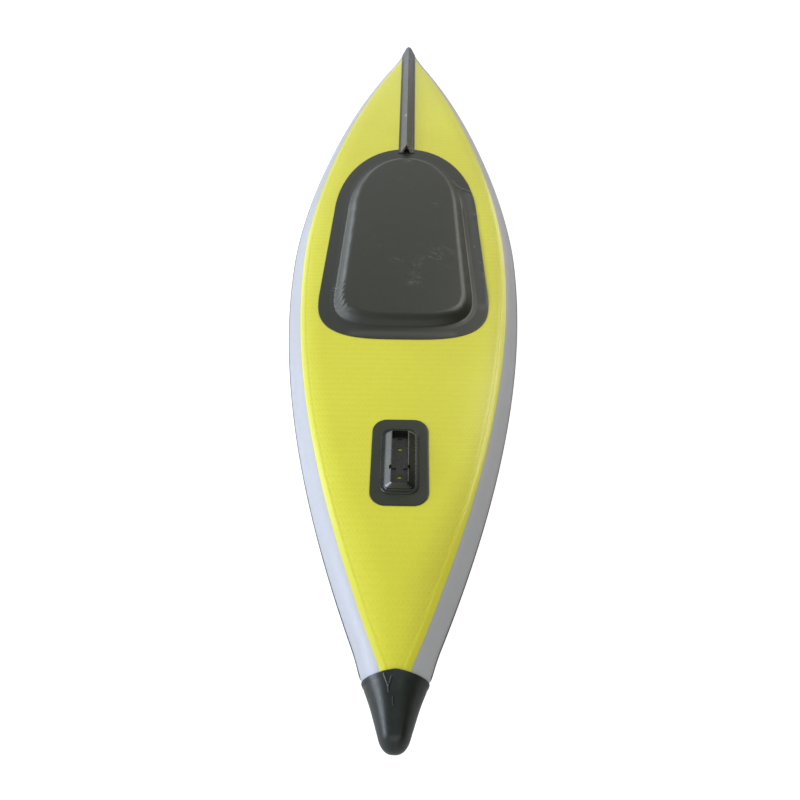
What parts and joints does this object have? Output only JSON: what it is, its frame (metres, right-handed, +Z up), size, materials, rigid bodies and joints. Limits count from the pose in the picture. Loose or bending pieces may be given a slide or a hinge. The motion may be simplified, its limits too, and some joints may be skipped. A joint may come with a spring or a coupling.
{
  "type": "inflatable drop-stitch kayak",
  "caption": "Bottom-up inflatable kayak: yellow drop-stitch hull, black cockpit floor, keel strip, fin box and stern cap; folding seat, foot rest, valve, rings and handles.",
  "frame": {"origin": "on the ground under the middle of the hull's length and width; the kayak lies bottom up on the flat rim of its cockpit coaming", "axes": "+Y along the hull towards the bow, +X across it, +Z up and out of the hull's bottom; half a turn about +Y floats it the right way up"},
  "size_m": [0.8462, 3.6, 0.2553],
  "materials": {
    "stitched_core": "undyed drop threads between two fabric faces",
    "yellow_pvc": "satin lemon yellow PVC-coated fabric with a fine dimple",
    "grey_pvc": "satin light grey PVC-coated fabric",
    "black_pvc": "satin black PVC sheet",
    "black_rubber": "moulded black rubber with a soft sheen",
    "black_plastic": "moulded black plastic",
    "charcoal_plastic": "moulded charcoal plastic",
    "pale_plastic": "pale moulded plastic",
    "seal_rubber": "soft sealing rubber",
    "spring_steel": "spring wire",
    "ring_steel": "bright stainless rod",
    "seat_fabric": "padded woven cover over foam",
    "foot_rest_fabric": "coated fabric roll",
    "hook_tape": "hook tape",
    "patch_webbing": "coated patch with webbing"
  },
  "bodies": {
    "hull": {"drop_stitch_core": "stitched_core", "bottom_panel": "yellow_pvc", "left_side_wall": "grey_pvc", "right_side_wall": "grey_pvc", "deck_panel": "grey_pvc", "left_rail_tape": "black_pvc", "right_rail_tape": "black_pvc", "stern_cap": "black_rubber", "bow_cap": "black_rubber", "bow_keel_strip": "black_pvc", "cockpit_tub": "black_pvc", "cockpit_lining": "black_pvc", "cockpit_coaming": "black_plastic", "fin_box_patch": "black_pvc", "fin_box_body": "black_plastic", "seat_cushion": "seat_fabric", "left_foot_rest_strip": "hook_tape", "right_foot_rest_strip": "hook_tape", "valve_body": "charcoal_plastic", "valve_nut": "charcoal_plastic", "valve_spring": "spring_steel", "valve_cap_ring": "black_rubber", "rear_left_d_ring_patch": "patch_webbing", "rear_right_d_ring_patch": "patch_webbing", "stern_left_d_ring_patch": "patch_webbing", "stern_right_d_ring_patch": "patch_webbing", "front_left_d_ring_patch": "patch_webbing", "front_right_d_ring_patch": "patch_webbing", "bow_handle_anchor": "patch_webbing", "stern_handle_anchor": "patch_webbing"},
    "backrest": {"seat_backrest": "seat_fabric"},
    "foot_roll": {"foot_rest": "foot_rest_fabric"},
    "valve_pin": {"valve_plunger": "pale_plastic", "valve_seal": "seal_rubber"},
    "valve_lid": {"valve_cap": "charcoal_plastic"},
    "bow_handle": {"bow_handle_bail": "charcoal_plastic", "bow_handle_grip": "black_rubber"},
    "stern_handle": {"stern_handle_bail": "charcoal_plastic", "stern_handle_grip": "black_rubber"},
    "rear_left_ring": {"rear_left_d_ring": "ring_steel"},
    "rear_right_ring": {"rear_right_d_ring": "ring_steel"},
    "stern_left_ring": {"stern_left_d_ring": "ring_steel"},
    "stern_right_ring": {"stern_right_d_ring": "ring_steel"},
    "front_left_ring": {"front_left_d_ring": "ring_steel"},
    "front_right_ring": {"front_right_d_ring": "ring_steel"}
  },
  "joints": [
    {"name": "backrest_fold", "type": "hinge", "parent": "hull", "child": "backrest", "pos_m": [0, -0.39, 0.2037], "axis": [-1, 0, 0], "range_deg": [0, 95]},
    {"name": "foot_rest_slide", "type": "slide", "parent": "hull", "child": "foot_roll", "axis": [0, 1, 0], "range_m": [-0.16, 0.07]},
    {"name": "valve_pin_press", "type": "slide", "parent": "hull", "child": "valve_pin", "axis": [0, 0, 1], "range_m": [0, 0.005], "stiffness_N_per_m": 250, "springref_m": -0.006, "deforming": ["valve_spring"]},
    {"name": "valve_cap_turn", "type": "hinge", "parent": "hull", "child": "valve_lid", "pos_m": [0, -0.78, 0.06], "axis": [0, 0, -1], "range_deg": [0, 90]},
    {"name": "bow_handle_swing", "type": "hinge", "parent": "hull", "child": "bow_handle", "pos_m": [0, 1.2997, 0.05187], "axis": [1, 0, 0], "range_deg": [-80, 80]},
    {"name": "stern_handle_swing", "type": "hinge", "parent": "hull", "child": "stern_handle", "pos_m": [0, -1.37982, 0.05871], "axis": [1, 0, 0], "range_deg": [-80, 80]},
    {"name": "rear_left_ring_swing", "type": "hinge", "parent": "hull", "child": "rear_left_ring", "pos_m": [-0.16, -0.67, 0.0651], "axis": [1, 0, 0], "range_deg": [-85, 85]},
    {"name": "rear_right_ring_swing", "type": "hinge", "parent": "hull", "child": "rear_right_ring", "pos_m": [0.16, -0.67, 0.0651], "axis": [1, 0, 0], "range_deg": [-85, 85]},
    {"name": "stern_left_ring_swing", "type": "hinge", "parent": "hull", "child": "stern_left_ring", "pos_m": [-0.11, -1.1, 0.0651], "axis": [1, 0, 0], "range_deg": [-85, 85]},
    {"name": "stern_right_ring_swing", "type": "hinge", "parent": "hull", "child": "stern_right_ring", "pos_m": [0.11, -1.1, 0.0651], "axis": [1, 0, 0], "range_deg": [-85, 85]},
    {"name": "front_left_ring_swing", "type": "hinge", "parent": "hull", "child": "front_left_ring", "pos_m": [-0.13, 0.84, 0.06504], "axis": [1, 0, 0], "range_deg": [-85, 85]},
    {"name": "front_right_ring_swing", "type": "hinge", "parent": "hull", "child": "front_right_ring", "pos_m": [0.13, 0.84, 0.06504], "axis": [1, 0, 0], "range_deg": [-85, 85]}
  ]
}
